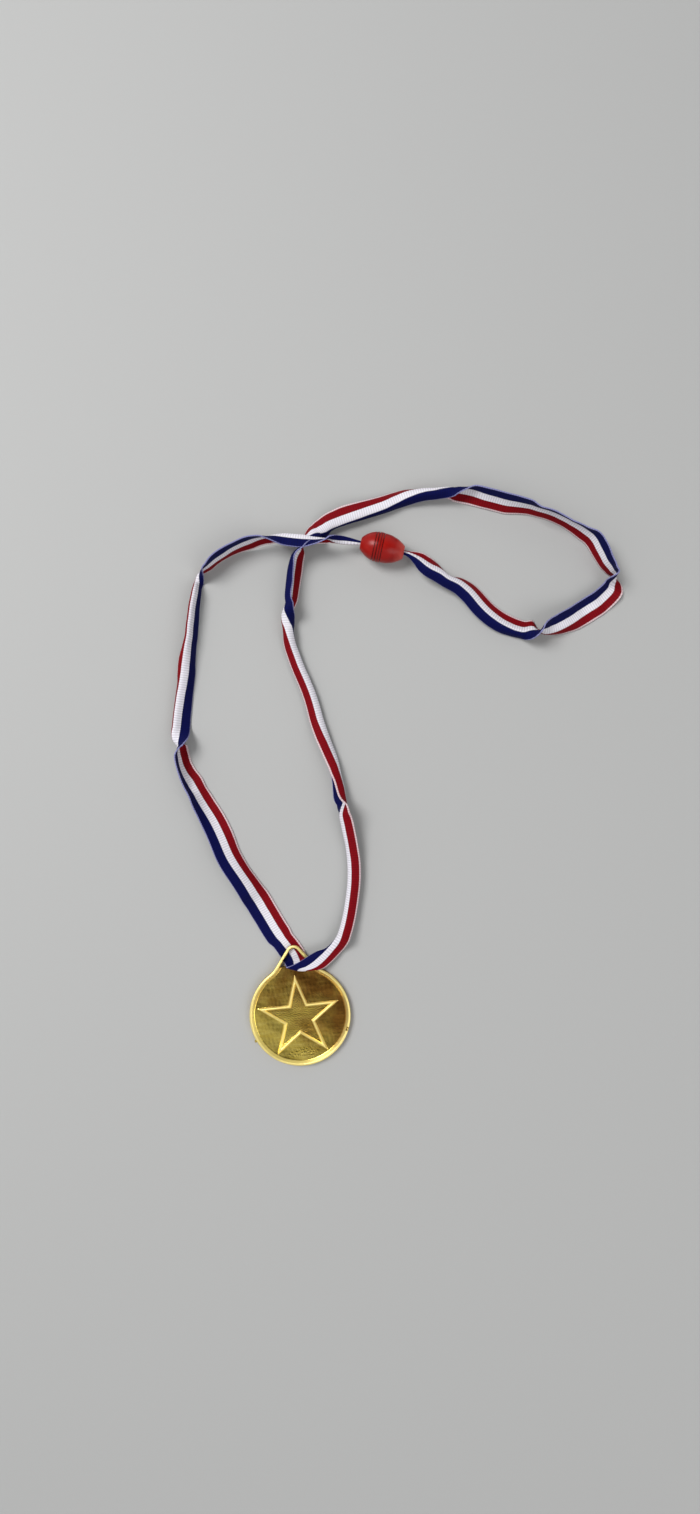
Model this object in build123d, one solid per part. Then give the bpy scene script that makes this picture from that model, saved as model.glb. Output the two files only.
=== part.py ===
from build123d import *
import os
from math import cos, radians, sin, sqrt, tan

# A child's sports-day finisher medal on a woven neck ribbon with a breakaway barrel clasp.
# Millimetres. The medal lies face up on the surface z = 0 with the centre of its back at the
# origin; +Y runs from there to the ribbon loop at its top, and the ribbon lies along +Y.

# --- medal: one metallised plastic moulding ---
MEDAL_D = 38.0
MEDAL_R = MEDAL_D / 2
RIM_TOP = 2.2  # height of the raised rim
RIM_FLAT = 0.7  # flat width on top of the rim
RIM_SLOPE = 0.9  # width of the rim's inner slope
FIELD_TOP = 1.4  # height of the sunk face
EDGE_BREAK = 0.3  # rounding of the rim's outer edges
STAR_CENTRE = (-0.5, -1.0)  # the star sits a little low on the disc
STAR_TIP_R = 16.2  # its centre to its outer tips
STAR_WAIST = 0.382  # inner corner radius over tip radius, as in a pentagram
STAR_RIDGE = 1.1  # width of the raised line that draws the star, at its foot
STAR_CREST = 0.4  # and along its top
STAR_TOP = 2.0  # height of that line

# --- loop at the top of the medal ---
LOOP_TOP_Y = 26.4
LOOP_BAR = 1.2  # width of the loop's bars in plan
LOOP_APEX_R = 3.0  # outer radius of the rounded apex
LOOP_HALF_ANGLE = 37.0  # sides measured from the Y axis
LOOP_LOW = 0.7  # underside of the bars, so the ribbon lies flat beneath them
LOOP_HOLE_Y = 18.6  # flat lower edge of the hole
SHOULDER_R = 11.0  # hollow curve between the round edge and each side of the loop

# --- gate marks left by the moulding tree ---
GATE_NUB_ANGLE = 205.0
GATE_BREAK_ANGLE = -22.0

# --- breakaway barrel clasp ---
CLASP_CENTRE = (49.2, 170.6, 5.45)
CLASP_ANGLE = -18.8  # heading of the barrel's axis from +X
CLASP_LENGTH = 16.3
CLASP_HALF = CLASP_LENGTH / 2
CLASP_R = 5.4
SOCKET_END_R = 2.1
STUD_END_R = 2.3
CORD_HOLE_R = 1.3
SEAM_GAP = 0.06
CHAMBER_R = 2.9
MOUTH_R = 3.7  # bore that the stud's spigot snaps into
MOUTH_DEPTH = 3.6
SPIGOT_R = MOUTH_R - 0.05
SPIGOT_LENGTH = 3.3
SPIGOT_BORE_R = 2.6
END_WALL = 1.7
GROOVES = (0.9, 1.9, 2.9)  # ring grooves, distances from the seam
GROOVE_R = 0.18

# --- ribbon ---
RIBBON_WIDTH = 10.0
RIBBON_THICK = 0.5
FLAT_Z = RIBBON_THICK / 2  # height of the ribbon's middle where it lies flat
KNOT_R = 2.2
KNOT_LENGTH = 3.2
NECK_R = 1.2  # bunched ribbon in the cord hole
NECK_OUT = 0.85  # how far the bunched neck stands out of the clasp
ARC_SHARE = 0.45  # share of the shorter run that each corner's arc takes up
GATHER_LENGTH = 9.0  # over this length the ribbon gathers to pass through a cord hole

# Route of the ribbon's middle line, from the clasp's socket half down to the medal.
LEFT_ROUTE = [
    (40.6, 173.5, 5.45),
    (36.8, 174.8, 5.45),
    (31.0, 175.6, 5.2),
    (24.0, 175.7, 5.0),
    (15.0, 177.2, 4.9),
    (6.5, 179.8, 2.4),
    (-2.5, 180.0, FLAT_Z),
    (-11.0, 177.5, FLAT_Z),
    (-18.8, 172.5, FLAT_Z),
    (-21.0, 164.0, FLAT_Z),
    (-23.0, 151.5, FLAT_Z),
    (-28.0, 137.5, FLAT_Z),
    (-30.5, 123.0, FLAT_Z),
    (-34.5, 109.0, FLAT_Z),
    (-34.0, 99.0, FLAT_Z),
    (-29.5, 88.0, FLAT_Z),
    (-22.5, 73.5, FLAT_Z),
    (-18.8, 60.0, FLAT_Z),
    (-12.8, 48.0, FLAT_Z),
    (-8.2, 35.5, FLAT_Z),
    (-2.0, 24.0, FLAT_Z),
]

# Route from the front of the medal, under the crossing and round to the clasp's stud half.
RIGHT_ROUTE = [
    (3.0, 17.0, 2.8),
    (10.4, 19.4, 2.9),
    (17.0, 23.0, 1.8),
    (20.8, 30.0, FLAT_Z),
    (23.7, 39.2, FLAT_Z),
    (26.2, 51.0, FLAT_Z),
    (26.2, 65.0, FLAT_Z),
    (24.6, 78.0, FLAT_Z),
    (22.0, 91.0, FLAT_Z),
    (18.0, 104.0, FLAT_Z),
    (15.6, 119.0, FLAT_Z),
    (10.8, 134.0, FLAT_Z),
    (9.7, 146.0, FLAT_Z),
    (12.5, 157.5, FLAT_Z),
    (16.5, 170.0, FLAT_Z),
    (20.2, 179.5, FLAT_Z),
    (26.5, 185.2, FLAT_Z),
    (37.0, 187.3, FLAT_Z),
    (50.0, 189.0, FLAT_Z),
    (61.4, 191.5, FLAT_Z),
    (73.6, 191.3, FLAT_Z),
    (86.3, 188.8, FLAT_Z),
    (98.2, 185.3, FLAT_Z),
    (110.6, 180.8, FLAT_Z),
    (120.7, 175.3, FLAT_Z),
    (128.3, 168.0, FLAT_Z),
    (133.0, 159.8, FLAT_Z),
    (136.4, 153.4, FLAT_Z),
    (135.7, 148.0, FLAT_Z),
    (131.5, 144.2, FLAT_Z),
    (124.5, 141.0, FLAT_Z),
    (115.6, 135.3, FLAT_Z),
    (106.0, 132.8, FLAT_Z),
    (96.7, 136.3, FLAT_Z),
    (86.8, 143.5, FLAT_Z),
    (80.2, 152.5, FLAT_Z),
    (72.5, 158.6, FLAT_Z),
    (66.5, 162.5, 2.8),
    (61.4, 166.4, 5.2),
    (57.8, 167.7, 5.45),
]


def save(node, shape):
    shape.label = node
    export_step(shape, f"parts/{node}.step")


# ---------------------------------------------------------------- medal
def star_outline(tip_radius):
    corners = []
    for k in range(10):
        radius = tip_radius if k % 2 == 0 else tip_radius * STAR_WAIST
        angle = radians(90 + 36 * k)
        corners.append((radius * cos(angle), radius * sin(angle)))
    return make_face(Polyline(*corners, close=True))


def teardrop(inset=0.0):
    """The medal's outline moved in by inset: round, with hollow shoulders up to a rounded apex."""
    angle = radians(LOOP_HALF_ANGLE)
    outward = Vector(cos(angle), sin(angle))
    downward = Vector(sin(angle), -cos(angle))
    apex = Vector(0, LOOP_TOP_Y - LOOP_APEX_R)
    beside = apex + outward * (LOOP_APEX_R + SHOULDER_R)
    reach = MEDAL_R + SHOULDER_R
    along = beside.dot(downward)
    hollow = beside - downward * (sqrt(along**2 - beside.length**2 + reach**2) + along)
    side_top = apex + outward * (LOOP_APEX_R - inset)
    side_foot = hollow - outward * (SHOULDER_R + inset)
    join = hollow * ((MEDAL_R - inset) / reach)
    between = ((side_foot - hollow) + (join - hollow)).normalized()
    waist = hollow + between * (SHOULDER_R + inset)
    right = [ThreePointArc(join, waist, side_foot), Line(side_foot, side_top)]
    left = [mirror(edge, about=Plane.YZ) for edge in right]
    top = ThreePointArc(side_top, (0, LOOP_TOP_Y - inset), (-side_top.X, side_top.Y))
    round_edge = ThreePointArc(join, (0, inset - MEDAL_R), (-join.X, join.Y))
    return make_face([*right, *left, top, round_edge])


def sloped(low_inset, low_z, high_inset, high_z):
    """Solid between two insets of the medal's outline at two heights."""
    faces = [Pos(0, 0, low_z) * teardrop(low_inset), Pos(0, 0, high_z) * teardrop(high_inset)]
    return loft(faces, ruled=True)


def medal_plate():
    """Blank with broken outer edges, a raised rim and a sunk field that runs up to the loop's hole."""
    foot = sloped(EDGE_BREAK, 0, 0, EDGE_BREAK)
    side = sloped(0, EDGE_BREAK, 0, RIM_TOP - EDGE_BREAK)
    crown = sloped(0, RIM_TOP - EDGE_BREAK, EDGE_BREAK, RIM_TOP)
    rim_inside = EDGE_BREAK + RIM_FLAT
    field = sloped(rim_inside + RIM_SLOPE, FIELD_TOP, rim_inside, RIM_TOP)
    relief = Pos(0, MEDAL_R + 5, 0) * Box(30, 20, 2 * LOOP_LOW) - Cylinder(MEDAL_R, 2 * RIM_TOP)
    return foot + side + crown - field - relief


def star_solid(inset_low, inset_high):
    """Solid star whose sides stand this far inside the tips' outline at the field and at the ridge's top."""
    # Moving every side of a star in by d shortens its tips by d / sin(18 degrees).
    radius = [STAR_TIP_R - inset / sin(radians(18)) for inset in (inset_low, inset_high)]
    sunk = Pos(0, 0, FIELD_TOP - 0.3) * extrude(star_outline(radius[0]), 0.3)
    low, high = (Pos(0, 0, z) * star_outline(r) for z, r in zip((FIELD_TOP, STAR_TOP), radius))
    return sunk + loft([low, high], ruled=True)


def star_ridge():
    lean = (STAR_RIDGE - STAR_CREST) / 2
    return Pos(*STAR_CENTRE) * (star_solid(0, lean) - star_solid(STAR_RIDGE, STAR_RIDGE - lean))


def loop_hole():
    above = Pos(0, LOOP_HOLE_Y + 10) * Rectangle(40, 20)
    return Pos(0, 0, -1) * extrude(teardrop(LOOP_BAR) & above, RIM_TOP + 2)


def gate_marks():
    nub = Rot(0, 0, GATE_NUB_ANGLE) * Pos(MEDAL_R + 0.2, 0, 1.1) * Box(1.2, 0.9, 0.8)
    notch = Rot(0, 0, GATE_BREAK_ANGLE) * Pos(MEDAL_R, 0, RIM_TOP) * Box(1.1, 1.3, 1.2)
    return nub, notch


def medal_body():
    nub, notch = gate_marks()
    body = medal_plate() + star_ridge() + nub
    return body - loop_hole() - notch


# ---------------------------------------------------------------- clasp
def clasp_place():
    return Pos(*CLASP_CENTRE) * Rot(0, 0, CLASP_ANGLE)


def turned(points_and_arcs):
    """Solid of revolution about the barrel's axis (local X) from a closed half profile."""
    return clasp_place() * revolve(make_face(points_and_arcs), Axis.X)


def clasp_socket():
    end = -CLASP_HALF
    outer = [
        Line((end, CORD_HOLE_R), (end, SOCKET_END_R)),
        ThreePointArc((end, SOCKET_END_R), (-5.0, 4.55), (-SEAM_GAP, CLASP_R)),
        Line((-SEAM_GAP, CLASP_R), (-SEAM_GAP, MOUTH_R)),
        Line((-SEAM_GAP, MOUTH_R), (-MOUTH_DEPTH, MOUTH_R)),
        Line((-MOUTH_DEPTH, MOUTH_R), (-MOUTH_DEPTH, CHAMBER_R)),
        Line((-MOUTH_DEPTH, CHAMBER_R), (end + END_WALL, CHAMBER_R * 0.8)),
        Line((end + END_WALL, CHAMBER_R * 0.8), (end + END_WALL, CORD_HOLE_R)),
        Line((end + END_WALL, CORD_HOLE_R), (end, CORD_HOLE_R)),
    ]
    half = turned(outer)
    for distance in GROOVES:
        ring = Pos(-distance, 0, 0) * Rot(0, 90, 0) * Torus(CLASP_R - 0.02 * distance**2, GROOVE_R)
        half -= clasp_place() * ring
    return half


def clasp_stud():
    end = CLASP_HALF
    outer = [
        Line((end, CORD_HOLE_R), (end, STUD_END_R)),
        ThreePointArc((end, STUD_END_R), (4.9, 4.35), (SEAM_GAP, CLASP_R - 0.1)),
        Line((SEAM_GAP, CLASP_R - 0.1), (SEAM_GAP, SPIGOT_R)),
        Line((SEAM_GAP, SPIGOT_R), (-SPIGOT_LENGTH, SPIGOT_R)),
        Line((-SPIGOT_LENGTH, SPIGOT_R), (-SPIGOT_LENGTH, SPIGOT_BORE_R)),
        Line((-SPIGOT_LENGTH, SPIGOT_BORE_R), (end - END_WALL, SPIGOT_BORE_R)),
        Line((end - END_WALL, SPIGOT_BORE_R), (end - END_WALL, CORD_HOLE_R)),
        Line((end - END_WALL, CORD_HOLE_R), (end, CORD_HOLE_R)),
    ]
    return turned(outer)


def ribbon_knot(side):
    """Knotted ribbon end in a clasp half and its bunched neck; side is -1 or +1 along the axis."""
    gap = 0.1
    inner_end = CLASP_HALF - END_WALL - gap
    middle = inner_end - KNOT_LENGTH / 2
    tip = inner_end - KNOT_LENGTH
    outline = [
        ThreePointArc((tip, 0), (middle, KNOT_R), (inner_end, NECK_R)),
        Line((inner_end, NECK_R), (CLASP_HALF + NECK_OUT, NECK_R)),
        Line((CLASP_HALF + NECK_OUT, NECK_R), (CLASP_HALF + NECK_OUT, 0)),
        Line((CLASP_HALF + NECK_OUT, 0), (tip, 0)),
    ]
    knot = revolve(make_face(outline), Axis.X)
    if side < 0:
        knot = mirror(knot, about=Plane.YZ)
    return clasp_place() * knot


# ---------------------------------------------------------------- ribbon
def corner_radius(before, corner, after):
    """The largest arc that a corner has room for."""
    turn = (corner - before).get_angle(after - corner)
    shorter = min((corner - before).length, (after - corner).length)
    return ARC_SHARE * shorter / tan(radians(turn) / 2)


def strip(route, first, last, name):
    """Flat ribbon from corner first to corner last of a route.

    It starts and ends in the middle of a run, or at the route's own end.
    """
    points = [Vector(*p) for p in route]
    start = points[0] if first == 0 else (points[first - 1] + points[first]) / 2
    end = points[-1] if last == len(points) - 1 else (points[last] + points[last + 1]) / 2
    turns = range(max(first, 1), min(last, len(points) - 2) + 1)
    radii = [corner_radius(*points[k - 1 : k + 2]) for k in turns]
    path = FilletPolyline(start, *[points[k] for k in turns], end, radius=radii)
    print(name, "arc radii:", [round(r, 1) for r in radii])
    heading = path % 0
    across = Vector(0, 0, 1).cross(heading).normalized()
    section = Plane(start, x_dir=across, z_dir=heading) * Rectangle(RIBBON_WIDTH, RIBBON_THICK)
    solid = sweep(section, path=path, binormal=path.moved(Pos(0, 0, 20)))
    print(name, "volume over section x length:", round(solid.volume / (section.area * path.length), 4))
    return solid


def gathered(solid, tip, beyond):
    """Narrows a lead evenly towards its tip, where the ribbon is gathered into the cord hole."""
    tip, beyond = Vector(*tip), Vector(*beyond)
    heading = Vector(beyond.X - tip.X, beyond.Y - tip.Y).normalized()
    place = Plane((tip.X, tip.Y, 0), x_dir=heading, z_dir=(0, 0, 1))
    half_width = RIBBON_WIDTH / 2 + 1
    for side in (-1, 1):
        corner = Polyline(
            (-2, side * NECK_R),
            (0, side * NECK_R),
            (GATHER_LENGTH, side * RIBBON_WIDTH / 2),
            (GATHER_LENGTH, side * half_width),
            (-2, side * half_width),
            close=True,
        )
        solid -= extrude(place * make_face(corner), 2 * CLASP_CENTRE[2])
    return solid


def loop_fold():
    """The ribbon where it comes up through the medal's loop and folds back over its front."""
    crossing_z = RIM_TOP + 0.2
    arrive = Vector(-2.0, 24.0) - Vector(-8.2, 35.5)
    heading = arrive.normalized()
    side = Vector(-heading.Y, heading.X) * (RIBBON_WIDTH / 2)
    begin = Vector(-5.1, 29.75)
    riser_left, riser_right = -3.7, 4.2
    riser_low, riser_high = LOOP_HOLE_Y + 0.2, LOOP_HOLE_Y + 0.9
    fold_y = 16.3
    under = make_face(
        Polyline(
            (begin.X + side.X, begin.Y + side.Y),
            (begin.X - side.X, begin.Y - side.Y),
            (riser_left, riser_low),
            (riser_right, riser_low),
            close=True,
        )
    )
    under = extrude(under, RIBBON_THICK)
    width = riser_right - riser_left
    depth = riser_high - riser_low
    riser_top = crossing_z + RIBBON_THICK
    middle_x, middle_y = (riser_left + riser_right) / 2, (riser_low + riser_high) / 2
    riser = Pos(middle_x, middle_y, riser_top / 2) * Box(width, depth, riser_top)
    over = strip(RIGHT_ROUTE, 0, 3, "over the medal")
    over &= Pos(20, fold_y + 20, 0) * Box(60, 40, 20)
    return under + riser + over


os.makedirs("parts", exist_ok=True)
save("medal_body", medal_body())
save("clasp_socket", clasp_socket())
save("clasp_stud", clasp_stud())
save("ribbon_knot_left", ribbon_knot(-1))
save("ribbon_knot_right", ribbon_knot(+1))
left_lead = strip(LEFT_ROUTE, 0, 6, "left lead")
save("ribbon_left_lead", gathered(left_lead, LEFT_ROUTE[0], LEFT_ROUTE[1]))
save("ribbon_left_strand", strip(LEFT_ROUTE, 7, 19, "left strand"))
save("ribbon_loop_fold", loop_fold())
save("ribbon_right_strand", strip(RIGHT_ROUTE, 4, 14, "right strand"))
save("ribbon_upper_loop", strip(RIGHT_ROUTE, 15, 31, "upper loop"))
right_lead = strip(RIGHT_ROUTE, 32, 39, "right lead")
save("ribbon_right_lead", gathered(right_lead, RIGHT_ROUTE[-1], RIGHT_ROUTE[-2]))
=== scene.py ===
"""Looks of a finisher medal on its striped neck ribbon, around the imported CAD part."""

import math

import bpy
import numpy as np
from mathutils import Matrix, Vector


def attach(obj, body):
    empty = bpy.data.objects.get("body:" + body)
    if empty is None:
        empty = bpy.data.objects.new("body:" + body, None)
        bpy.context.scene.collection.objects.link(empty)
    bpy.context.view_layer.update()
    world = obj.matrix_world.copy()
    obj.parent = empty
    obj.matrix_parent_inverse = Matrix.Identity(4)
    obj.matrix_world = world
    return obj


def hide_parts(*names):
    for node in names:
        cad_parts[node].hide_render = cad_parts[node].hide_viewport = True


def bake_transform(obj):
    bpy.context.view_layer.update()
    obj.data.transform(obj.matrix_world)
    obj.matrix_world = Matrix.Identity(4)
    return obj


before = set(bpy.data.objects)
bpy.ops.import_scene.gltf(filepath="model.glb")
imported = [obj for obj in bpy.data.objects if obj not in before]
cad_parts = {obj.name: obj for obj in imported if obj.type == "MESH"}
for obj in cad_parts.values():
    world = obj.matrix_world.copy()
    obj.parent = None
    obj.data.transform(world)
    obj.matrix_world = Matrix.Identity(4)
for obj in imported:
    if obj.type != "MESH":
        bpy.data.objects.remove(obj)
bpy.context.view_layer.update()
scene = bpy.context.scene
MM = 0.001
MIDDLE = (0.03, 0.095, 0.0)  # of the whole medal and ribbon, on the floor

# ---------------------------------------------------------------- camera
camera = bpy.data.objects.new("camera", bpy.data.cameras.new("camera"))
scene.collection.objects.link(camera)
camera.location = (0.02903, 0.09465, 0.266)
camera.rotation_euler = (0, 0, -math.atan2(0.1063, 0.9943))  # looks straight down, turned a little
camera.data.sensor_fit = "VERTICAL"
camera.data.sensor_height = 36
camera.data.lens = 16.68
camera.data.clip_start = 0.01
scene.camera = camera


# ---------------------------------------------------------------- node helpers
def material(name):
    """A new material with its node tree and its shader."""
    m = bpy.data.materials.new(name)
    m.use_nodes = True
    tree = m.node_tree
    return m, tree, tree.nodes["Principled BSDF"]


def feed(tree, socket, value):
    """Link the socket to another one, or set it to a plain value."""
    if isinstance(value, bpy.types.NodeSocket):
        tree.links.new(value, socket)
    else:
        socket.default_value = value


def node(tree, kind, inputs=None, **settings):
    """A new shader node with its settings, and its inputs linked or set."""
    n = tree.nodes.new(kind)
    for key, value in settings.items():
        setattr(n, key, value)
    for key, value in (inputs or {}).items():
        feed(tree, n.inputs[key], value)
    return n


def noise(tree, scale, detail, where=None):
    """Three-dimensional noise, about 0 to 1."""
    inputs = {"Scale": scale, "Detail": detail}
    if where is not None:
        inputs = {"Vector": where, **inputs}
    return node(tree, "ShaderNodeTexNoise", inputs).outputs["Fac"]


def clamped(tree, value):
    return node(tree, "ShaderNodeClamp", {0: value}).outputs[0]


def grain(tree, shader, height, distance, strength):
    """Fine bump over the whole surface."""
    bump = node(tree, "ShaderNodeBump", {"Height": height, "Distance": distance, "Strength": strength})
    tree.links.new(bump.outputs[0], shader.inputs["Normal"])


def maths(tree, operation, a, b=0.0, c=0.0):
    return node(tree, "ShaderNodeMath", {0: a, 1: b, 2: c}, operation=operation).outputs[0]


def mix(tree, factor, a, b):
    n = node(tree, "ShaderNodeMix", data_type="RGBA")
    for key, value in (("Factor", factor), ("A", a), ("B", b)):
        feed(tree, n.inputs[key], value)
    return n.outputs["Result"]


def rgb(r, g, b):
    return (r, g, b, 1.0)


# ---------------------------------------------------------------- ribbon material
def ribbon_material():
    """Woven red, white and blue stripes by distance across the ribbon, with painted shade in the hollows
    between ribs.
    """
    m, tree, shader = material("ribbed_ribbon")
    across = node(tree, "ShaderNodeAttribute", attribute_name="across_mm").outputs["Fac"]
    along = node(tree, "ShaderNodeAttribute", attribute_name="along_mm").outputs["Fac"]
    threads = {"W": maths(tree, "MULTIPLY", along, 2.2), "Detail": 2.0}
    ragged = node(tree, "ShaderNodeTexNoise", threads, noise_dimensions="1D").outputs["Fac"]
    place = maths(tree, "MULTIPLY_ADD", maths(tree, "SUBTRACT", ragged, 0.5), 0.3, across)

    def beyond(start, way=6.0):
        """0 to 1 past a place across the ribbon, towards its blue edge or, for way < 0, its red edge."""
        slope = maths(tree, "MULTIPLY", maths(tree, "SUBTRACT", place, start), way)
        return clamped(tree, maths(tree, "ADD", slope, 0.5))

    wear = noise(tree, 90.0, 2.0)
    white = mix(tree, wear, rgb(0.74, 0.67, 0.73), rgb(0.66, 0.68, 0.73))
    red = mix(tree, wear, rgb(0.14, 0.0006, 0.004), rgb(0.21, 0.001, 0.005))
    blue = mix(tree, wear, rgb(0.0005, 0.0008, 0.036), rgb(0.0008, 0.003, 0.07))
    base = mix(tree, beyond(RED_TO, -6.0), white, red)
    base = mix(tree, beyond(BLUE_FROM), base, blue)
    base = mix(tree, beyond(RED_SELVEDGE, -6.0), base, rgb(0.66, 0.50, 0.52))
    base = mix(tree, beyond(BLUE_SELVEDGE), base, rgb(0.22, 0.22, 0.42))
    # painted shade: the colour darkened in the hollows between the ribs, times a random weave tone
    rib = maths(tree, "SINE", maths(tree, "MULTIPLY", along, 2 * math.pi / RIB))
    rib_shade_and_weave_tone = maths(tree, "MULTIPLY_ADD", rib, 0.12, 0.88)
    weave = noise(tree, 2600.0, 3.0)
    rib_shade_and_weave_tone = maths(tree, "MULTIPLY", rib_shade_and_weave_tone, maths(tree, "MULTIPLY_ADD", weave, 0.5, 0.75))
    shaded = node(tree, "ShaderNodeVectorMath", {0: base, "Scale": rib_shade_and_weave_tone}, operation="SCALE").outputs[0]
    tree.links.new(shaded, shader.inputs["Base Color"])
    shader.inputs["Roughness"].default_value = 0.7
    shader.inputs["Specular IOR Level"].default_value = 0.08
    shader.inputs["Sheen Weight"].default_value = 0.02
    shader.inputs["Sheen Roughness"].default_value = 0.4
    grain(tree, shader, weave, 0.00005, 0.7)
    return m


# ---------------------------------------------------------------- ribbon
# Corners of the ribbon's route in mm, from the clasp's socket half down to the medal.
LEFT_ROUTE = [
    (40.6, 173.5, 5.45), (36.8, 174.8, 5.45), (31.0, 175.6, 5.2), (24.0, 175.7, 5.0),
    (15.0, 177.2, 4.9), (6.5, 179.8, 2.4), (-2.5, 180.0, 0.25), (-11.0, 177.5, 0.25),
    (-18.8, 172.5, 0.25), (-21.0, 164.0, 0.25), (-23.0, 151.5, 0.25), (-28.0, 137.5, 0.25),
    (-30.5, 123.0, 0.25), (-34.5, 109.0, 0.25), (-34.0, 99.0, 0.25), (-29.5, 88.0, 0.25),
    (-22.5, 73.5, 0.25), (-18.8, 60.0, 0.25), (-12.8, 48.0, 0.25), (-8.2, 35.5, 0.25),
    (-2.0, 24.0, 0.25),
]
# Up through the medal's loop and back over its front.
LOOP_ROUTE = [
    (-0.2, 20.6, 0.5), (0.9, 18.9, 2.45), (2.6, 16.0, 2.5), (3.6, 15.6, 3.15), (7.4, 17.6, 3.2),
]
# From the medal's front, under the crossing and round to the clasp's stud half.
RIGHT_ROUTE = [
    (11.0, 19.6, 3.1), (17.0, 23.0, 1.8), (20.8, 30.0, 0.25), (23.7, 39.2, 0.25),
    (26.2, 51.0, 0.25), (26.2, 65.0, 0.25), (24.6, 78.0, 0.25), (22.0, 91.0, 0.25),
    (18.0, 104.0, 0.25), (15.6, 119.0, 0.25), (10.8, 134.0, 0.25), (9.7, 146.0, 0.25),
    (12.5, 157.5, 0.25), (16.5, 170.0, 0.25), (20.2, 179.5, 0.25), (26.5, 185.2, 0.25),
    (37.0, 187.3, 0.25), (50.0, 189.0, 0.25), (61.4, 191.5, 0.25), (73.6, 191.3, 0.25),
    (86.3, 188.8, 0.25), (98.2, 185.3, 0.25), (110.6, 180.8, 0.25), (120.7, 175.3, 0.25),
    (128.3, 168.0, 0.25), (133.0, 159.8, 0.25), (136.4, 153.4, 0.25), (135.7, 148.0, 0.25),
    (131.5, 144.2, 0.25), (124.5, 141.0, 0.25), (115.6, 135.3, 0.25), (106.0, 132.8, 0.25),
    (96.7, 136.3, 0.25), (86.8, 143.5, 0.25), (80.2, 152.5, 0.25), (72.5, 158.6, 0.25),
    (66.5, 162.5, 2.8), (61.4, 166.4, 5.2), (57.8, 167.7, 5.45),
]
WIDTH = 10.0
THICK = 0.45
RIB = 0.9  # pitch of the woven ribs
RIB_HIGH = 0.035
# Stripes by distance from the middle towards the blue edge: red, white, blue, and a woven edge on each side,
# pale pink by the red and dim blue-grey by the blue.
RED_SELVEDGE, RED_TO, BLUE_FROM, BLUE_SELVEDGE = -4.45, -1.55, 1.3, 4.85

# How the ribbon lies, by distance in mm from the socket half. Three directions across it, in degrees,
# for the red third, the white middle and the blue third: 0 lies flat pointing left of travel, 90 up,
# 180 right. Then how soft the two creases are, how far the whole is moved left, and the share of
# its full size where it is gathered.
LIE = [
    (0, 40, 150, 210, 1.0, 0.0, 0.19),
    (1.5, 40, 150, 206, 1.0, 0.0, 0.2),
    (4, 40, 150, 200, 1.0, 0.2, 0.42),
    (8, 65, 120, 150, 1.0, 0.3, 0.5),
    (12, 130, 60, 75, 1.0, 0.5, 0.6),
    (16, 160, 30, 45, 1.0, 0.6, 0.7),
    (21, 170, 20, 12, 0.9, 0.7, 0.9),
    (27, 170, 28, 15, 0.9, 0.6, 0.9),
    (31, 160, 50, 50, 1.0, 0.6, 0.85),
    (34, 125, 75, 80, 1.2, 1.2, 0.9),
    (41, 112, 98, 90, 1.5, 2.4, 1),
    (48, 100, 98, 92, 1.5, 2.6, 1),
    (54, 86, 98, 102, 1.5, 2.6, 1),
    (58, 88, 96, 98, 1.5, 2.6, 1),
    (61, 95, 92, 88, 1.5, 2.8, 1),
    (65, 97, 85, 75, 1.2, 0.9, 0.8),
    (67, 96, 20, 0, 1.2, 0.1, 0.35),
    (69.5, 106, -70, -75, 1.0, -0.4, 0.6),
    (72, 106, -78, -82, 1.0, -0.5, 0.9),
    (79, 108, -84, -74, 1.0, -1.0, 1),
    (85, 106, -80, -68, 1.0, -0.8, 1),
    (90, 94, -76, -70, 1.0, -0.3, 1),
    (98, 64, -48, -73, 1.0, -0.5, 1),
    (103, 66, -37, -65, 1.0, -0.2, 1),
    (108, 84, -39, -60, 1.0, -0.1, 1),
    (113, 100, -42, -48, 1.0, -0.1, 1),
    (118, 106, -46, -36, 1.0, 0.0, 1),
    (124, 106, -50, -22, 1.0, 0.4, 1),
    (128, 125, 0, 20, 1.0, 0.8, 1),
    (131, 168, 75, 60, 1.2, 1.0, 1),
    (134, 175, 90, 95, 1.2, 0.8, 1),
    (137, 180, 95, 90, 1.5, 0.5, 1),
    (141, 178, 115, 88, 1.5, 0.4, 1),
    (145, 175, 150, 92, 1.5, 0.4, 1),
    (149, 145, 138, 98, 1.5, 0.4, 1),
    (155, 175, 140, 117, 1.5, -0.2, 1),
    (163, 178, 148, 139, 1.5, -0.6, 1),
    (176, 140, 148, 152, 1.5, -0.8, 1),
    (185, 130, 135, 162, 1.5, -0.3, 1),
    (191, 135, 148, 166, 1.5, -0.1, 1),
    (197, 178, 165, 172, 1.5, 0.2, 1),
    (204, 180, 178, 180, 1.5, 0.5, 1),
    (216, 180, 180, 180, 1.5, 0.5, 1),
]
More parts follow.
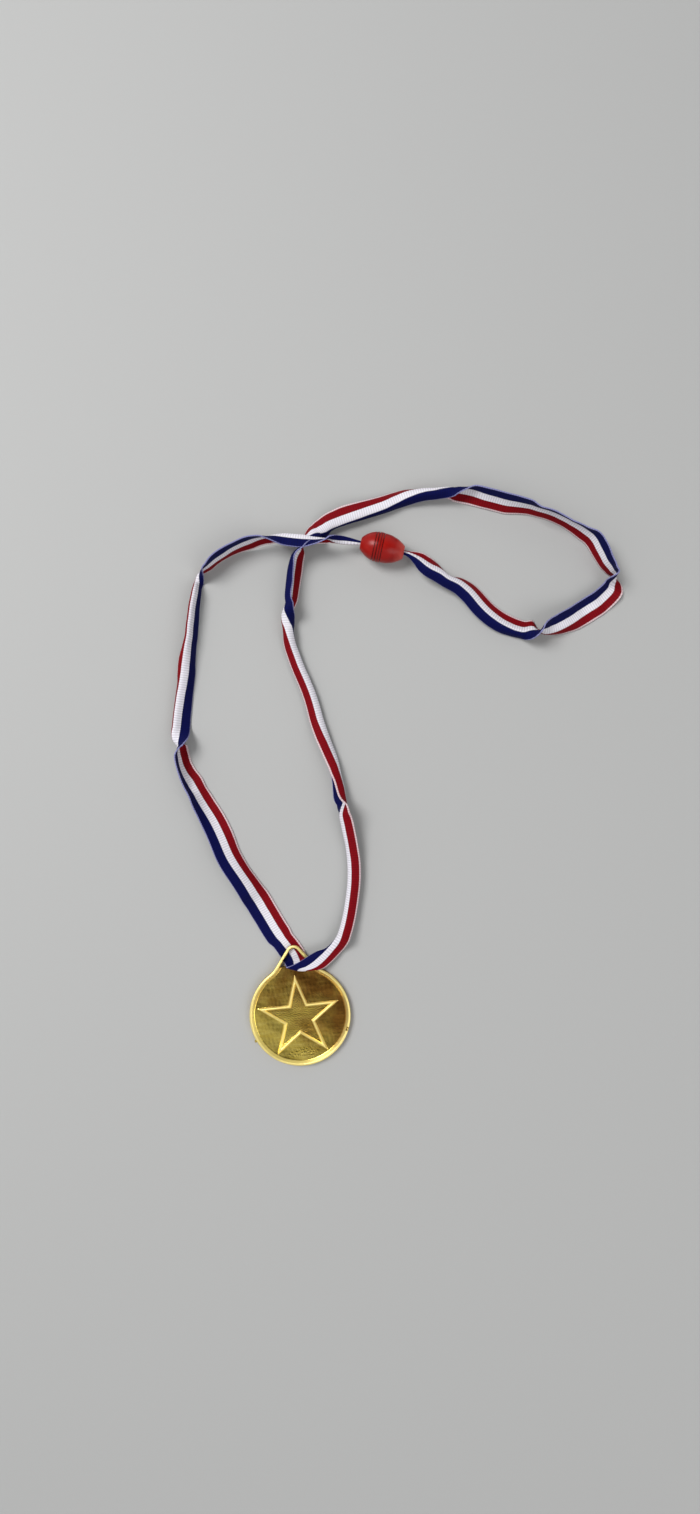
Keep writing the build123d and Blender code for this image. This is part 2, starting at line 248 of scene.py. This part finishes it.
# The same by distance from the fold on the medal's front, up the right strand to the stud half.
LIE_RIGHT = [
    (0, 0, 0, 0, 1.0, 0.0, 1),
    (8, 0, 0, -8, 1.0, 0.0, 1),
    (21, 22, -62, -165, 0.9, 0.0, 1),
    (34, 20, -63, -178, 0.9, -0.1, 1),
    (50, 12, -61, -178, 0.9, -0.2, 1),
    (56, 2, -67, -165, 0.9, -0.1, 1),
    (61, 2, -64, -145, 1.0, 0.1, 1),
    (66, -5, -66, -120, 1.0, 0.1, 1),
    (70, -56, -67, -75, 1.0, 0.3, 1),
    (74, -135, -62, -12, 1.0, 0.8, 1),
    (77, -155, -66, -5, 1.0, 0.3, 1),
    (81, -152, -85, 0, 1.0, -0.3, 1),
    (85, -170, -98, 0, 1.0, -0.9, 1),
    (90, -180, -117, 0, 0.9, -1.0, 1),
    (95, -182, -122, -5, 0.9, -1.0, 1),
    (100, -206, -131, -15, 0.9, -0.9, 1),
    (105, -219, -142, -15, 0.9, -0.8, 1),
    (115, -224, -137, -15, 0.9, -1.0, 1),
    (130, -229, -136, -15, 0.9, -0.9, 1),
    (135, -234, -131, -25, 0.9, -0.6, 1),
    (140, -262, -145, -70, 1.0, -0.9, 1),
    (145, -285, -215, -115, 1.0, -0.9, 1),
    (149, -300, -285, -195, 1.0, -1.3, 1),
    (153, -305, -335, -215, 1.0, -1.2, 1),
    (158, -308, -340, -206, 0.9, -0.9, 1),
    (163, -322, -335, -212, 1.0, -0.6, 1),
    (168, -322, -308, -240, 1.2, -0.5, 1),
    (173, -280, -270, -225, 1.2, -1.8, 0.95),
    (178, -245, -230, -170, 1.2, -3.0, 0.9),
    (184, -215, -180, -95, 1.0, -3.3, 1),
    (190, -198, -165, -55, 1.0, -2.6, 1),
    (195, -182, -175, -62, 1.0, -2.2, 1),
    (200, -198, -172, -72, 1.0, -2.0, 1),
    (205, -210, -185, -75, 1.0, -1.6, 1),
    (210, -218, -190, -80, 1.0, -1.4, 1),
    (215, -230, -198, -90, 1.0, -1.0, 1),
    (220, -245, -208, -104, 1.2, -1.2, 1),
    (225, -264, -228, -110, 1.2, -1.7, 1),
    (230, -285, -242, -116, 1.2, -2.2, 1),
    (235, -318, -262, -135, 1.2, -1.9, 1),
    (240, -345, -300, -215, 1.0, -1.7, 1),
    (245, -335, -300, -270, 1.2, -2.0, 1),
    (250, -310, -300, -280, 1.5, -2.6, 1),
    (258, -315, -290, -285, 1.5, -3.1, 1),
    (266, -297, -275, -275, 1.5, -2.7, 1),
    (270, -290, -275, -250, 1.5, -2.8, 1),
    (275, -288, -275, -252, 1.5, -2.5, 1),
    (283, -284, -279, -244, 1.5, -2.6, 1),
    (290, -298, -290, -248, 1.5, -2.2, 1),
    (295, -295, -288, -278, 1.5, -1.5, 1),
    (300, -288, -288, -286, 1.5, -2.0, 1),
    (305, -280, -286, -276, 1.5, -2.8, 1),
    (309, -275, -280, -262, 1.5, -2.6, 1),
    (312, -262, -262, -262, 1.5, -1.2, 1),
    (316, -150, -190, -235, 1.2, -0.2, 1),
    (320, -170, -182, -235, 1.2, 0.0, 1),
    (325, -190, -180, -229, 1.2, 0.5, 1),
    (330, -182, -180, -229, 1.2, 0.3, 1),
    (335, -213, -180, -227, 1.2, -0.3, 1),
    (340, -250, -180, -222, 1.2, -1.2, 1),
    (345, -278, -190, -231, 1.2, -1.6, 1),
    (349, -295, -235, -235, 1.2, -1.1, 1),
    (352, -320, -300, -330, 1.5, -0.4, 1),
    (355, -333, -298, -445, 1.3, -0.2, 1),
    (359, -340, -300, -442, 1.3, 0.2, 1),
    (364, -335, -305, -422, 1.3, 0.8, 1),
    (369, -326, -313, -412, 1.3, 0.9, 1),
    (375, -325, -316, -408, 1.3, 0.6, 1),
    (381, -316, -315, -408, 1.3, 0.4, 1),
    (386, -300, -312, -412, 1.2, 0.7, 1),
    (391, -265, -312, -418, 1.0, 2.3, 1),
    (396, -300, -312, -412, 1.2, 1.1, 1),
    (400, -325, -306, -416, 1.2, 0.9, 0.95),
    (404, -335, -304, -415, 1.2, 0.3, 0.75),
    (406, -330, -304, -405, 1.0, 0.1, 0.42),
    (407.5, -310, -320, -402, 1.0, 0.0, 0.2),
    (410, -300, -330, -400, 1.0, 0.0, 0.17),
]


def route_line(corners):
    """Points of the smooth curve that has these corners as its control points, in mm."""
    curve = bpy.data.curves.new("route", "CURVE")
    curve.dimensions = "3D"
    curve.resolution_u = 24
    spline = curve.splines.new("NURBS")
    spline.points.add(len(corners) - 1)
    for point, corner in zip(spline.points, corners):
        point.co = (*corner, 1.0)
    spline.order_u = 3
    spline.use_endpoint_u = True
    holder = bpy.data.objects.new("route", curve)
    mesh = bpy.data.meshes.new_from_object(holder)
    line = np.array([v.co for v in mesh.vertices], float)
    bpy.data.objects.remove(holder)
    bpy.data.curves.remove(curve)
    bpy.data.meshes.remove(mesh)
    return line


def by_distance(keys, x):
    """Rows of keys at distances x, joined by smooth steps."""
    keys = np.array(keys, float)
    i = np.clip(np.searchsorted(keys[:, 0], x) - 1, 0, len(keys) - 2)
    t = np.clip((x - keys[i, 0]) / (keys[i + 1, 0] - keys[i, 0]), 0, 1)
    t = (0.5 * t + 0.5 * t * t * (3 - 2 * t))[:, None]
    return keys[i, 1:] * (1 - t) + keys[i + 1, 1:] * t


def softened(values, reach):
    """Rolling mean over 2 * reach + 1 rows, ends kept."""
    padded = np.concatenate([np.repeat(values[:1], reach, 0), values, np.repeat(values[-1:], reach, 0)])
    total = np.cumsum(np.concatenate([np.zeros_like(padded[:1]), padded]), 0)
    return (total[2 * reach + 1 :] - total[: -2 * reach - 1]) / (2 * reach + 1)


STEP = 0.3  # between rows of the ribbon's mesh
COLUMNS = 25  # points across it
CREASE = 1.6  # from the middle to each crease
SOFTEN = 5  # rows each way

line = route_line(LEFT_ROUTE + LOOP_ROUTE + RIGHT_ROUTE)
run = np.r_[0, np.cumsum(np.linalg.norm(np.diff(line, axis=0), axis=1))]
LENGTH = run[-1]
dist = np.linspace(0, LENGTH, int(LENGTH / STEP) + 1)
centre = np.stack([np.interp(dist, run, line[:, k]) for k in range(3)], 1)
travel = np.gradient(centre, dist, axis=0)
travel /= np.linalg.norm(travel, axis=1)[:, None]

# the fold on the medal's front is where the route turns back, at its lowest Y
fold_at = dist[np.argmin(centre[:, 1])]

# both ends run on into the cord holes of the clasp
ENTRY, ENTRY_OVER = 2.0, 5.0  # how far on, and the length this is drawn out of
inward_bound = np.clip(1 - dist / ENTRY_OVER, 0, 1) - np.clip(1 - (LENGTH - dist) / ENTRY_OVER, 0, 1)
centre -= travel * (ENTRY * inward_bound)[:, None]

left = np.stack([-travel[:, 1], travel[:, 0], 0 * dist], 1)
left /= np.linalg.norm(left, axis=1)[:, None]
up = np.cross(travel, left)

lie = np.where(
    (dist < fold_at)[:, None], by_distance(LIE, dist), by_distance(LIE_RIGHT, dist - fold_at)
)
lie = np.concatenate([softened(lie[dist < fold_at], SOFTEN), softened(lie[dist >= fold_at], SOFTEN)])

across = np.linspace(-WIDTH / 2, WIDTH / 2, COLUMNS)


def step_at(place, soft):
    """0 to 1 across a crease."""
    return 0.5 + 0.5 * np.tanh((across[None, :] - place) / soft)


red, white, blue, soft, aside, size = [lie[:, k][:, None] for k in range(6)]
turn = red + (white - red) * step_at(-CREASE, soft) + (blue - white) * step_at(CREASE, soft)
turn = np.radians(turn)
middle = (turn[:, 1:] + turn[:, :-1]) / 2
pitch = across[1] - across[0]
zero = np.zeros((len(dist), 1))
side = size * np.concatenate([zero, np.cumsum(np.cos(middle) * pitch, 1)], 1)
high = size * np.concatenate([zero, np.cumsum(np.sin(middle) * pitch, 1)], 1)
side += aside - (side.max(1) + side.min(1))[:, None] / 2
# it rests on its route, except near the clasp, where it is centred on the cord hole
HUNG_WITHIN, HUNG_FADE = 9.0, 6.0
rest = high - high.min(1)[:, None]
hung = high - (high.max(1) + high.min(1))[:, None] / 2
free = np.clip((np.abs(dist - LENGTH / 2) - LENGTH / 2 + HUNG_WITHIN) / HUNG_FADE, 0, 1)[:, None]
high = rest * (1 - free) + hung * free
surface = centre[:, None, :] + side[:, :, None] * left[:, None, :] + high[:, :, None] * up[:, None, :]

# The ribbon round the medal's loop, by distance from the fold: up through the hole, over the edge and
# back on itself. Four points across it in mm: red edge, red to white, white to blue, blue edge.
FOLD = [
    (-18.0, (-1.5, 33.5, 0.3), (-4.1, 32.0, 0.4), (-6.4, 30.6, 0.4), (-9.1, 29.2, 0.3)),
    (-14.0, (0.5, 30.1, 0.3), (-2.1, 28.7, 0.4), (-4.5, 27.2, 0.4), (-7.1, 25.7, 0.3)),
    (-11.0, (2.3, 27.3, 0.3), (-0.5, 26.1, 0.4), (-2.9, 24.6, 0.4), (-5.7, 23.2, 0.3)),
    (-8.0, (4.0, 24.0, 0.3), (1.1, 23.2, 0.35), (-1.5, 22.2, 0.35), (-4.6, 21.2, 0.3)),
    (-5.0, (4.9, 20.8, 0.4), (2.0, 20.4, 0.45), (-0.8, 20.0, 0.5), (-3.9, 19.7, 0.6)),
    (-2.3, (5.0, 19.1, 1.7), (2.5, 18.6, 2.5), (-0.5, 18.7, 2.5), (-3.3, 19.1, 2.1)),
    (0.0, (7.0, 17.1, 2.6), (3.7, 16.8, 2.75), (0.3, 17.3, 2.75), (-3.0, 18.7, 2.7)),
    (2.0, (8.3, 16.8, 2.9), (4.7, 17.1, 3.3), (1.4, 18.0, 3.3), (-1.6, 19.1, 3.2)),
    (4.5, (9.6, 16.8, 2.9), (6.4, 17.3, 3.4), (3.6, 18.5, 3.5), (0.9, 20.0, 3.4)),
    (7.5, (11.4, 17.3, 2.8), (8.7, 18.1, 3.4), (6.3, 19.8, 3.6), (3.9, 21.3, 3.3)),
    (10.5, (13.3, 18.5, 2.5), (10.9, 19.5, 3.3), (8.8, 21.4, 3.5), (7.2, 22.8, 3.0)),
    (13.5, (15.5, 20.1, 2.0), (13.2, 21.3, 2.9), (11.3, 23.1, 3.1), (10.6, 23.4, 2.2)),
    (17.0, (18.2, 22.5, 1.3), (16.2, 24.1, 2.1), (14.3, 25.3, 2.2), (14.6, 22.3, 1.0)),
    (21.0, (20.4, 26.3, 0.6), (18.4, 27.3, 1.3), (16.6, 28.2, 1.5), (17.6, 25.5, 0.4)),
]
# how much of the fold's shape counts, by distance from it
FOLD_SHARE = ([-18, -14, 16, 21], [0, 1, 1, 0])


def through(keys, x):
    """Smooth curve through rows of keys at their distances, read at distances x."""
    at, rows = keys[:, 0], keys[:, 1:]
    slope = np.gradient(rows, at, axis=0)
    i = np.clip(np.searchsorted(at, x) - 1, 0, len(at) - 2)
    gap = (at[i + 1] - at[i])[:, None]
    t = np.clip((x[:, None] - at[i][:, None]) / gap, 0, 1)
    return (
        (1 + 2 * t) * (1 - t) ** 2 * rows[i] + t * (1 - t) ** 2 * gap * slope[i]
        + t * t * (3 - 2 * t) * rows[i + 1] + t * t * (t - 1) * gap * slope[i + 1]
    )


near = dist - fold_at
keys = np.array([[row[0], *row[1], *row[2], *row[3], *row[4]] for row in FOLD])
lanes = through(keys, near).reshape(-1, 4, 3)
# a cubic across the ribbon through the four points of each row
stops = np.array([-5.0, -1.7, 1.7, 5.0])
folded = 0
for k in range(4):
    others = np.delete(stops, k)
    weight = np.prod((across[:, None] - others) / (stops[k] - others), 1)
    folded = folded + weight[None, :, None] * lanes[:, k : k + 1, :]
share = np.interp(near, *FOLD_SHARE)
share = (share * share * (3 - 2 * share))[:, None, None]
surface = surface * (1 - share) + folded * share
normal = np.cross(np.gradient(surface, axis=1), np.gradient(surface, axis=0))
normal /= np.linalg.norm(normal, axis=2)[:, :, None]


def set_values(mesh, attribute, values):
    mesh.attributes.new(attribute, "FLOAT", "POINT").data.foreach_set("value", values.astype(np.float32))


def smooth_object(name, mesh, finish):
    mesh.polygons.foreach_set("use_smooth", np.ones(len(mesh.polygons), bool))
    mesh.update()
    piece = bpy.data.objects.new(name, mesh)
    scene.collection.objects.link(piece)
    mesh.materials.append(finish)
    return piece


def ribbon_piece(name, first, last):
    """A closed strip of the ribbon between two distances along it, and the middles of its rows."""
    rows = np.flatnonzero((dist >= first - 1e-6) & (dist <= last + STEP))
    half = THICK / 2 + RIB_HIGH * np.sin(2 * math.pi * dist[rows] / RIB)[:, None, None]
    top = surface[rows] + normal[rows] * half
    low = surface[rows] - normal[rows] * half
    ring = np.concatenate([top, low[:, ::-1]], 1) * MM
    n, m = ring.shape[:2]
    verts = ring.reshape(-1, 3)
    i, j = np.meshgrid(np.arange(n - 1), np.arange(m), indexing="ij")
    a = (i * m + j).ravel()
    b = (i * m + (j + 1) % m).ravel()
    faces = np.stack([a, b, b + m, a + m], 1).tolist()
    for k in range(COLUMNS - 1):
        faces.append([k + 1, k, m - 1 - k, m - 2 - k])
        base = (n - 1) * m
        faces.append([base + k, base + k + 1, base + m - 2 - k, base + m - 1 - k])
    mesh = bpy.data.meshes.new(name)
    mesh.from_pydata(verts.tolist(), [], faces)
    set_values(mesh, "across_mm", np.tile(np.concatenate([across, across[::-1]]), n))
    set_values(mesh, "along_mm", np.repeat(dist[rows], m))
    piece = smooth_object(name, mesh, RIBBON)
    return piece, [tuple(p) for p in ring.mean(1)]


RIBBON = ribbon_material()
seam_crossing = fold_at + 174  # hidden under the crossing by the clasp
seam_pinch = LENGTH - 63  # at the lowest pinch of the upper loop
front, front_path = ribbon_piece("ribbon_front", 0, seam_crossing)
back, back_path = ribbon_piece("ribbon_back_loop", seam_crossing, seam_pinch)
lead, lead_path = ribbon_piece("ribbon_clasp_lead", seam_pinch, LENGTH)
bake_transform(front)
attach(back, "ribbon")
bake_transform(lead)
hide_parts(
    "ribbon_knot_left", "ribbon_left_lead", "ribbon_left_strand", "ribbon_loop_fold",
    "ribbon_right_strand",
)
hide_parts("ribbon_upper_loop")
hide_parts("ribbon_right_lead", "ribbon_knot_right")


# ---------------------------------------------------------------- medal and clasp materials
def gold_material():
    """Gold film on moulded plastic with drawn streaks, a painted reflection darkening it to brown towards the
    upper right, and a painted highlight on raised parts.
    """
    m, tree, shader = material("gold_plastic")
    where = node(tree, "ShaderNodeTexCoord").outputs["Object"]
    part = node(tree, "ShaderNodeSeparateXYZ", {0: where}).outputs
    cloud = noise(tree, 95.0, 3.0, where)
    drawn = {"Vector": where, "Rotation": (0, 0, 0.9), "Scale": (1.0, 7.0, 1.0)}
    streaks = noise(tree, 170.0, 3.0, node(tree, "ShaderNodeMapping", drawn).outputs[0])
    # painted reflection: 0 at the lower left of the medal, 1 at its upper right, drifting with the cloud
    slant = maths(tree, "MULTIPLY_ADD", part[0], 22.0, maths(tree, "MULTIPLY", part[1], 26.0))
    slant = maths(tree, "MULTIPLY_ADD", maths(tree, "SUBTRACT", cloud, 0.5), 2.2, slant)
    painted_reflection = clamped(tree, maths(tree, "ADD", slant, 0.42))
    raised = clamped(tree, node(tree, "ShaderNodeAttribute", attribute_name="raised").outputs["Fac"])
    gold = mix(tree, streaks, rgb(0.62, 0.43, 0.04), rgb(1.0, 0.80, 0.22))
    base = mix(tree, maths(tree, "MULTIPLY", painted_reflection, 0.8), gold, rgb(0.28, 0.07, 0.01))
    # painted highlight: raised ridges and the rim made paler, brighter gold
    base = mix(tree, maths(tree, "MULTIPLY", raised, 0.85), base, rgb(1.0, 0.84, 0.33))
    tree.links.new(base, shader.inputs["Base Color"])
    shader.inputs["Metallic"].default_value = 1.0
    rough = maths(tree, "MULTIPLY_ADD", streaks, 0.22, maths(tree, "MULTIPLY_ADD", raised, 0.27, 0.10))
    tree.links.new(rough, shader.inputs["Roughness"])
    grain(tree, shader, noise(tree, 2400.0, 2.0, where), 0.00003, 0.35)
    return m


# The clasp's middle on the seam and its axis, as it lies; then its dark lines by place along the axis,
# half-width and depth of tint: the seam's dark joint line, and painted shade in the three ring grooves.
CLASP_AT = (0.0492, 0.1706)
CLASP_TURN = math.radians(-18.8)
CLASP_LINES = (
    (0.0, 0.00018, 0.9), (-0.0009, 0.00022, 0.8), (-0.0019, 0.00022, 0.8), (-0.0029, 0.00022, 0.75),
)


def red_material():
    """Glossy red plastic with a dark seam, painted shade in the ring grooves, and paler patches towards the
    stud's end.
    """
    m, tree, shader = material("red_plastic")
    where = node(tree, "ShaderNodeTexCoord").outputs["Object"]
    part = node(tree, "ShaderNodeSeparateXYZ", {0: where}).outputs
    axial = maths(tree, "MULTIPLY", maths(tree, "SUBTRACT", part[0], CLASP_AT[0]), math.cos(CLASP_TURN))
    other = maths(tree, "SUBTRACT", part[1], CLASP_AT[1])
    axial = maths(tree, "MULTIPLY_ADD", other, math.sin(CLASP_TURN), axial)
    mottle = noise(tree, 260.0, 4.0, where)
    base = mix(tree, mottle, rgb(0.18, 0.002, 0.001), rgb(0.31, 0.007, 0.004))
    # paler red in patches towards the stud's end
    pale = maths(tree, "MULTIPLY", maths(tree, "SUBTRACT", axial, 0.0045), 300.0)
    pale = maths(tree, "MULTIPLY", clamped(tree, pale), maths(tree, "MULTIPLY", mottle, 1.2))
    base = mix(tree, pale, base, rgb(0.55, 0.09, 0.07))
    # painted shade darkens the three ring grooves; the seam's line is its dark joint
    for place, reach, depth in CLASP_LINES:
        away = maths(tree, "ABSOLUTE", maths(tree, "SUBTRACT", axial, place))
        seam_and_groove_shade = clamped(tree, maths(tree, "SUBTRACT", 1.5, maths(tree, "DIVIDE", away, reach)))
        base = mix(tree, maths(tree, "MULTIPLY", seam_and_groove_shade, depth), base, rgb(0.06, 0.001, 0.001))
    tree.links.new(base, shader.inputs["Base Color"])
    shader.inputs["Roughness"].default_value = 0.3
    shader.inputs["Specular IOR Level"].default_value = 0.2
    grain(tree, shader, noise(tree, 900.0, 2.0, where), 0.00006, 0.3)
    return m


GOLD, RED = gold_material(), red_material()
for name, finish in (("medal_body", GOLD), ("clasp_socket", RED), ("clasp_stud", RED)):
    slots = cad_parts[name].data.materials
    slots.clear()
    slots.append(finish)


# ---------------------------------------------------------------- medal face and rim
# The CAD's own measures of the medal, in mm.
MEDAL_R = 19.0
RIM_TOP = 2.2
FIELD_TOP = 1.4
SHOULDER_R = 11.0
APEX_Y, APEX_R = 23.4, 3.0
LOOP_HALF_ANGLE = math.radians(37)
GATE_BEARING = -22.0  # degrees, where the rim is broken
OUTLINE_GAP = 0.14  # between points of the outline


def medal_outline():
    """Points round the teardrop outline and their inward normals, counter-clockwise from its foot."""
    outward = np.array([math.cos(LOOP_HALF_ANGLE), math.sin(LOOP_HALF_ANGLE)])
    downward = np.array([outward[1], -outward[0]])
    apex = np.array([0.0, APEX_Y])
    beside = apex + outward * (APEX_R + SHOULDER_R)
    reach = MEDAL_R + SHOULDER_R
    along = beside @ downward
    hollow = beside - downward * (math.sqrt(along**2 - beside @ beside + reach**2) + along)

    def arc(middle, radius, first, last, inward):
        turns = np.linspace(first, last, max(int(abs(last - first) * radius / OUTLINE_GAP), 4))
        ray = np.stack([np.cos(turns), np.sin(turns)], 1)
        return middle + ray * radius, ray * inward

    join = math.atan2(hollow[1], hollow[0])
    round_edge = arc(np.zeros(2), MEDAL_R, -math.pi / 2, join, -1)
    shoulder = arc(hollow, SHOULDER_R, join + math.pi, LOOP_HALF_ANGLE + math.pi, 1)
    foot, head = hollow - outward * SHOULDER_R, apex + outward * APEX_R
    t = np.linspace(0, 1, int(np.linalg.norm(head - foot) / OUTLINE_GAP))[1:-1, None]
    side = (foot + (head - foot) * t, np.repeat(-outward[None], len(t), 0))
    top = arc(apex, APEX_R, LOOP_HALF_ANGLE, math.pi / 2, -1)
    points = np.concatenate([round_edge[0], shoulder[0][1:], side[0], top[0]])
    normals = np.concatenate([round_edge[1], shoulder[1][1:], side[1], top[1]])
    flip = np.array([-1.0, 1.0])
    return tuple(np.concatenate([half, half[-2:0:-1] * flip]) for half in (points, normals))


outline, inward = medal_outline()


def medal_piece(name, verts, faces, raised):
    """A gold mesh on the medal, with how raised each of its points is, which sets where the gold's painted
    highlight falls.
    """
    mesh = bpy.data.meshes.new(name)
    mesh.from_pydata((verts * MM).tolist(), [], faces)
    set_values(mesh, "raised", raised)
    piece = smooth_object(name, mesh, GOLD)
    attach(piece, "medal")


def rim_bead():
    """Rounded bead over the rim, all the way round the medal and its loop, broken at the gate."""
    profile = [  # inset from the outline and height
        (0.00, 1.30), (-0.03, 1.60), (-0.03, 1.90), (0.03, 2.08), (0.16, 2.21), (0.34, 2.29), (0.55, 2.32),
        (0.76, 2.29), (0.94, 2.20), (1.06, 2.07), (1.12, 1.92), (0.90, 1.70), (0.40, 1.40),
    ]
    bearing = np.degrees(np.arctan2(outline[:, 1], outline[:, 0]))
    broken = 0.62 * np.exp(-(((bearing - GATE_BEARING) / 1.9) ** 4))
    place = np.arange(len(outline))
    uneven = 0.02 * np.sin(place * 0.11) + 0.015 * np.sin(place * 0.047 + 1)
    verts = []
    for inset, height in profile:
        ring = outline + inward * inset
        z = np.full(len(ring), height) + (height > 1.75) * uneven - (height > 1.95) * broken
        verts.append(np.concatenate([ring, z[:, None]], 1))
    n, m = len(profile), len(outline)
    i, j = np.meshgrid(np.arange(n), np.arange(m), indexing="ij")
    a, b = i * m + j, i * m + (j + 1) % m
    c, d = (i + 1) % n * m + (j + 1) % m, (i + 1) % n * m + j
    faces = np.stack([a, b, c, d], -1).reshape(-1, 4).tolist()
    # the bead's upper points get the gold's painted highlight
    raised = np.repeat(np.array([height > 1.5 for _, height in profile], float), m)
    medal_piece("medal_rim_bead", np.concatenate(verts), faces, raised)


STAR_CENTRE = np.array([-0.5, -1.0])
STAR_TIP_R = 16.2
STAR_HALF_LINE = 0.55
# from its centre to the middle of each raised line
STAR_LINE = STAR_TIP_R * math.cos(math.radians(72)) - STAR_HALF_LINE


def to_star(points):
    """Distance from each point to the star's five mitred lines, and whether it lies inside them."""
    turns = np.radians(90 + 72 * np.arange(5))
    beyond = (points - STAR_CENTRE) @ np.stack([np.cos(turns), np.sin(turns)]) - STAR_LINE
    side = np.sort(beyond, 1)[:, 3]  # a pentagram holds what is outside one line at most
    return np.abs(side), side < 0


def ripples(points, shortest, longest, count, seed):
    """Sum of sine waves between two wavelengths in mm, about -1 to 1."""
    random = np.random.default_rng(seed)
    total = np.zeros(len(points))
    for _ in range(count):
        length = random.uniform(shortest, longest)
        heading = random.uniform(0, math.pi)
        phase = random.uniform(0, 6.28)
        way = np.array([math.cos(heading), math.sin(heading)]) * 2 * math.pi / length
        total += np.sin(points @ way + phase)
    return total / math.sqrt(count)


FACE_INSET = 0.92  # its edge lies under the rim bead
FACE_LEVEL = 18.35  # Y of its upper edge, just short of the loop's hole
AROUND, RINGS = 760, 130  # points of its mesh
ROUND_BELOW = 9.0  # Y up to where the outline is a plain circle
RIDGE_TOP, CROWN, CROWN_DROP = 2.11, 0.24, 0.07  # the star line's height, half-width on top and its rounding
FLANK_DROP, FLANK = 0.62, 0.36  # fall of the ridge's sides over their width
PATCH_Y, PATCH_HALF_X, PATCH_HALF_Y = -14.2, 6.0, 1.7  # stipple between the lower points


def medal_face():
    """Sunk field with its sloped edge, the star's raised line, a grained middle and a stippled patch."""
    inner = outline + inward * FACE_INSET
    bearing = np.arctan2(inner[:, 1], inner[:, 0])
    order = np.argsort(bearing)
    turns = np.linspace(-math.pi, math.pi, AROUND, endpoint=False)
    reach = np.interp(turns, bearing[order], np.hypot(*inner[order].T), period=2 * math.pi)
    rise = np.sin(turns)
    reach = np.where(rise > 0.3, np.minimum(reach, FACE_LEVEL / np.maximum(rise, 0.3)), reach)
    share = np.linspace(0, 1, RINGS + 1)[1:]
    ray = np.stack([np.cos(turns), np.sin(turns)], 1)
    points = (share[:, None, None] * reach[None, :, None] * ray[None]).reshape(-1, 2)
    points = np.concatenate([[[0.0, 0.0]], points])

    # distance in from the outline, measured in batches where it isn't round
    inset = MEDAL_R - np.hypot(*points.T)
    for few in np.array_split(np.flatnonzero(points[:, 1] > ROUND_BELOW), 40):
        inset[few] = np.sqrt(((points[few, None] - outline[None]) ** 2).sum(2).min(1))
    from_line, inside = to_star(points)

    waves = 0.035 * ripples(points, 6.0, 15.0, 7, 3) + 0.004 * ripples(points, 0.9, 2.2, 14, 5)
    field = FIELD_TOP + 0.07 + waves
    middle = inside & (from_line > 0.4)
    field += middle * 0.016 * ripples(points, 0.45, 1.1, 24, 8)
    patch = np.exp(-((points[:, 0] / PATCH_HALF_X) ** 2 + ((points[:, 1] - PATCH_Y) / PATCH_HALF_Y) ** 2) ** 2)
    field += 0.05 * patch * np.maximum(ripples(points, 0.7, 1.5, 20, 11), 0)
    slope = RIM_TOP + 0.03 - (inset - 1.0) / 0.9 * (RIM_TOP - FIELD_TOP)
    ridge = RIDGE_TOP - FLANK_DROP * np.maximum(from_line - CROWN, 0) / FLANK
    ridge -= CROWN_DROP * np.minimum(from_line / CROWN, 1) ** 2
    ridge -= 0.012 * ripples(points, 2.0, 5.0, 6, 21)
    blend = 0.035  # height over which the three run into each other
    stack = np.stack([field, slope, ridge])
    top = stack.max(0)
    z = top + blend * np.log(np.exp((stack - top) / blend).sum(0))
    verts = np.concatenate([points, z[:, None]], 1)

    i, j = np.meshgrid(np.arange(RINGS - 1), np.arange(AROUND), indexing="ij")
    a, b = 1 + i * AROUND + j, 1 + i * AROUND + (j + 1) % AROUND
    faces = np.stack([a, a + AROUND, b + AROUND, b], -1).reshape(-1, 4).tolist()
    j = np.arange(AROUND)
    faces += np.stack([np.zeros_like(j), 1 + j, 1 + (j + 1) % AROUND], 1).tolist()
    # how much of the gold's painted highlight each point gets: the star's ridge in full, the sloped edge at
    # 0.6
    raised = np.clip((ridge - field) / 0.25, 0, 1)
    raised += 0.6 * np.clip((slope - field) / 0.4, 0, 1) * (ridge < slope)
    medal_piece("medal_face", verts, faces, raised)


rim_bead()
medal_face()

# ---------------------------------------------------------------- floor and light
bpy.ops.mesh.primitive_plane_add(size=3, location=(*MIDDLE[:2], -0.0001))
floor = bpy.context.object
floor.name = "floor"
m, tree, shader = material("pale_floor")
shader.inputs["Base Color"].default_value = rgb(0.36, 0.36, 0.355)
shader.inputs["Roughness"].default_value = 0.8
floor.data.materials.append(m)

world = bpy.data.worlds.new("world")
scene.world = world
world.use_nodes = True
sky = world.node_tree
toward = node(sky, "ShaderNodeTexCoord").outputs["Generated"]
heading = node(sky, "ShaderNodeSeparateXYZ", {0: toward}).outputs


def ramp(value, first, last):
    """0 to 1 between two values."""
    return node(sky, "ShaderNodeMapRange", {"Value": value, "From Min": first, "From Max": last}).outputs[0]


# a dark patch overhead leans away from the light, so the medal's face runs from bright to dark
slant = maths(sky, "ADD", heading[0], maths(sky, "MULTIPLY", heading[1], 0.8))
dark = maths(sky, "MULTIPLY", ramp(heading[2], 0.55, 0.93), ramp(slant, -0.50, -0.28))
background = sky.nodes["Background"].inputs
feed(sky, background["Color"], mix(sky, dark, rgb(1.0, 1.02, 1.04), rgb(0.10, 0.09, 0.08)))
background["Strength"].default_value = 0.6


def area(name, place, size, power):
    """A square light that faces the middle of the whole."""
    light = bpy.data.lights.new(name, "AREA")
    light.shape = "SQUARE"
    light.size = size
    light.energy = power
    lamp = bpy.data.objects.new(name, light)
    scene.collection.objects.link(lamp)
    lamp.location = place
    lamp.rotation_euler = (Vector(place) - Vector(MIDDLE)).to_track_quat("Z", "Y").to_euler()


area("key", (-0.5, 0.5, 0.9), 0.5, 12)
area("fill", (0.6, -0.5, 0.9), 0.8, 5)

scene.view_settings.view_transform = "Standard"
